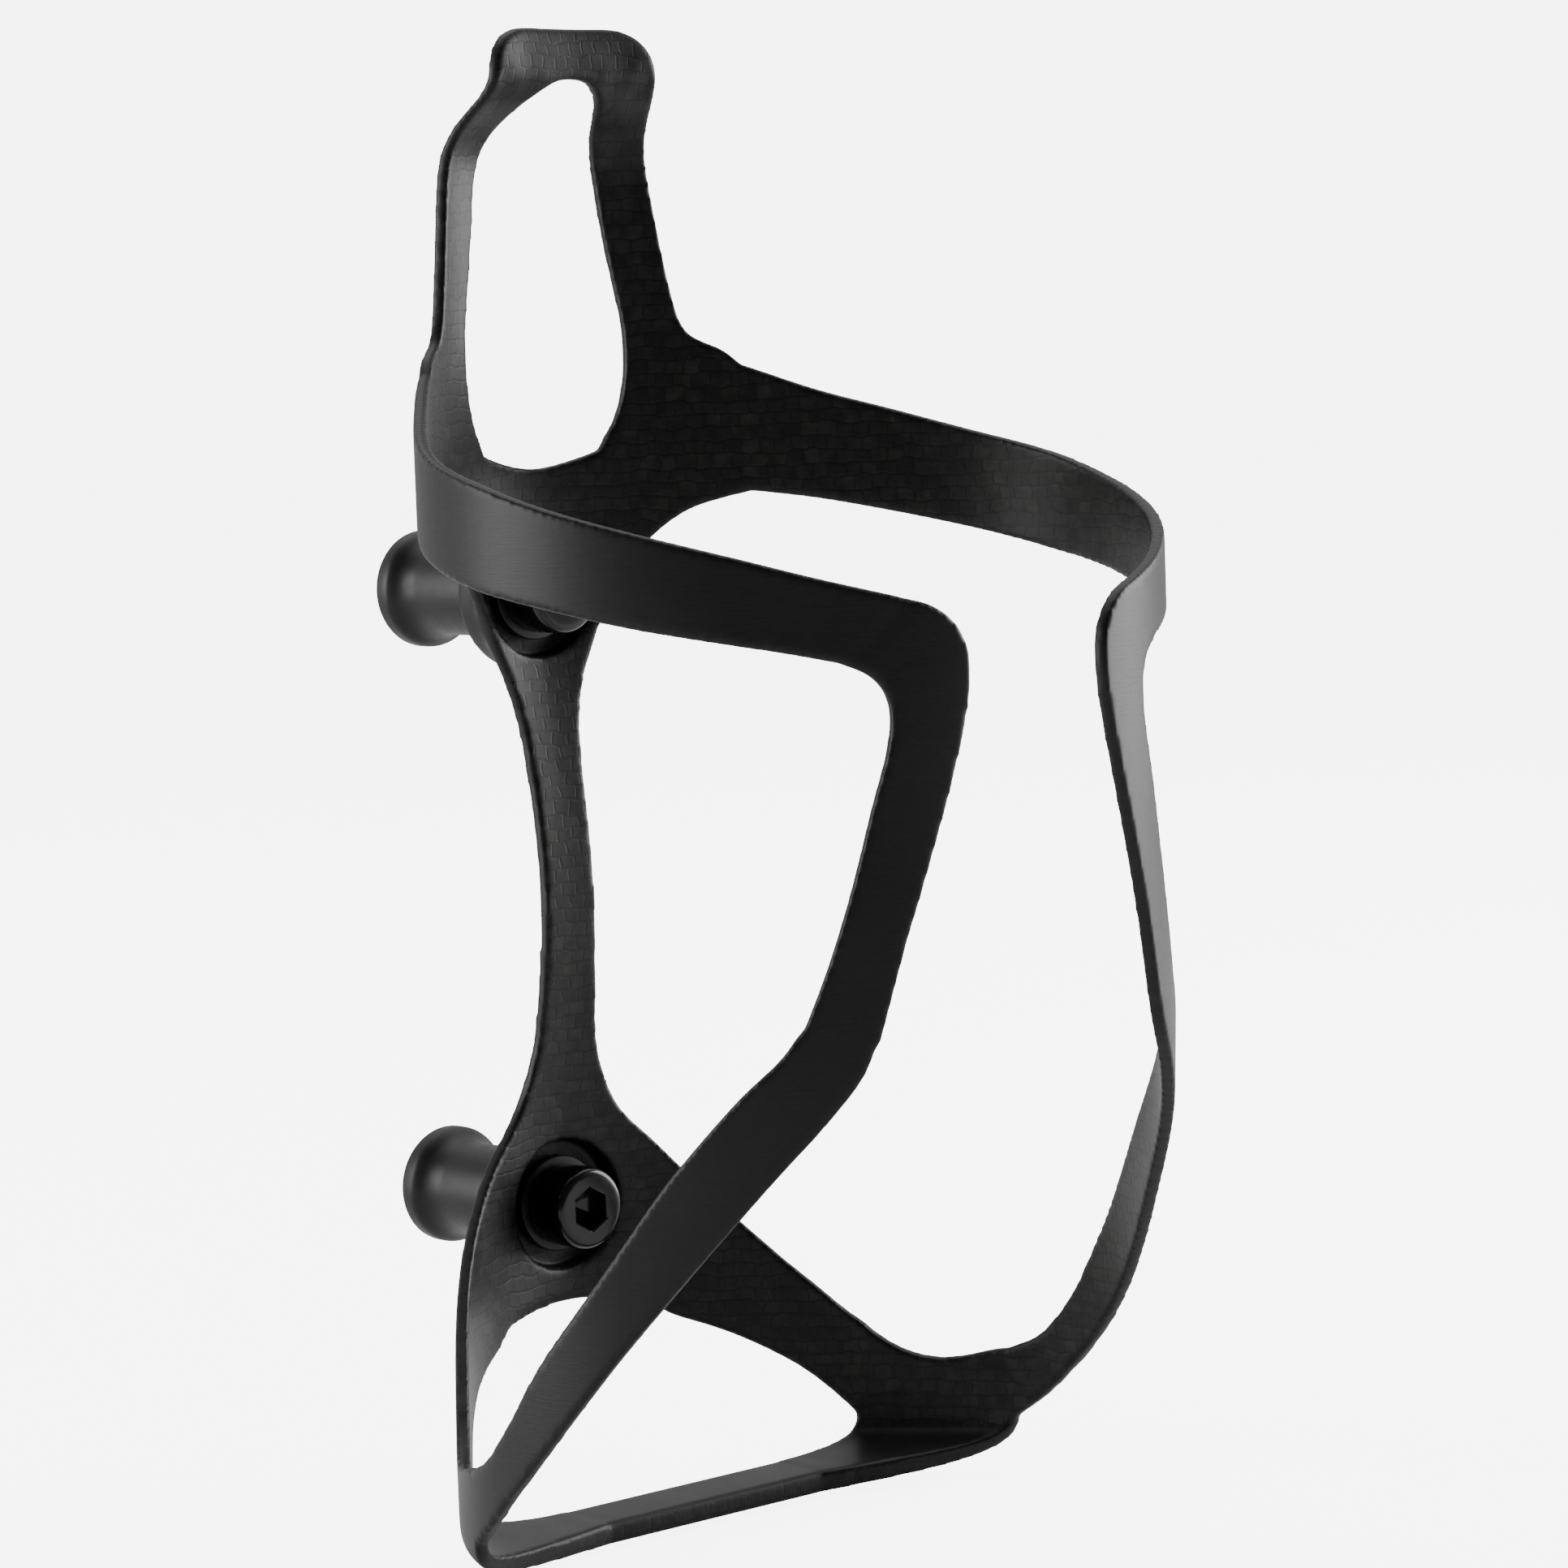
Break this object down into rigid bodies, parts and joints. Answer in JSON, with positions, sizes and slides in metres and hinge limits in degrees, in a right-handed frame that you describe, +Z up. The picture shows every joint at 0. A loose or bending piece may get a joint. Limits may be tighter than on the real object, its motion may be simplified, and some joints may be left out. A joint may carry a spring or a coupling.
{
  "type": "water bottle cage",
  "caption": "Light side-gripping bicycle bottle cage: a carbon shell wraps the bottle and stands off the frame on two bolts with trumpet-shaped spacers.",
  "frame": {"origin": "midway between the two bolts, on the plane where the spacers meet the bicycle frame", "axes": "+Z up the bottle axis, +Y from the bicycle frame towards the bottle and the open front, +X to the right side seen from behind"},
  "size_m": [0.0746, 0.0972, 0.1503],
  "materials": {
    "carbon_shell": "satin",
    "spacer": "satin",
    "washer": "satin",
    "screw": "gloss"
  },
  "bodies": {
    "shell": {"spine": "carbon_shell", "catch_loop": "carbon_shell", "base_strap": "carbon_shell", "left_arm": "carbon_shell", "right_arm": "carbon_shell", "left_front_leg": "carbon_shell", "right_front_leg": "carbon_shell", "left_diagonal": "carbon_shell", "right_diagonal": "carbon_shell", "left_lower_leg": "carbon_shell", "right_lower_leg": "carbon_shell", "left_base_corner": "carbon_shell", "right_base_corner": "carbon_shell", "left_base_foot": "carbon_shell", "right_base_foot": "carbon_shell"},
    "upper_washer_body": {"upper_washer": "washer"},
    "upper_screw_body": {"upper_screw": "screw"},
    "upper_spacer_body": {"upper_spacer": "spacer"},
    "lower_washer_body": {"lower_washer": "washer"},
    "lower_screw_body": {"lower_screw": "screw"},
    "lower_spacer_body": {"lower_spacer": "spacer"}
  },
  "joints": [
    {"name": "upper_screw_draw", "type": "slide", "parent": "shell", "child": "upper_washer_body", "axis": [0, 1, 0], "range_m": [0, 0.008]},
    {"name": "upper_screw_turn", "type": "hinge", "parent": "upper_washer_body", "child": "upper_screw_body", "pos_m": [0, 0.02, 0.032], "axis": [0, 1, 0], "range_deg": [0, 3590]},
    {"name": "upper_spacer_slide", "type": "slide", "parent": "shell", "child": "upper_spacer_body", "axis": [0, -1, 0], "range_m": [0, 0.02]},
    {"name": "lower_screw_draw", "type": "slide", "parent": "shell", "child": "lower_washer_body", "axis": [0, 1, 0], "range_m": [0, 0.008]},
    {"name": "lower_screw_turn", "type": "hinge", "parent": "lower_washer_body", "child": "lower_screw_body", "pos_m": [0, 0.02, -0.032], "axis": [0, 1, 0], "range_deg": [0, 3590]},
    {"name": "lower_spacer_slide", "type": "slide", "parent": "shell", "child": "lower_spacer_body", "axis": [0, -1, 0], "range_m": [0, 0.02]}
  ],
  "couplings": [
    {"joint": "upper_screw_draw", "follows": "upper_screw_turn", "m_per_rad": 0.00012732},
    {"joint": "lower_screw_draw", "follows": "lower_screw_turn", "m_per_rad": 0.00012732}
  ]
}
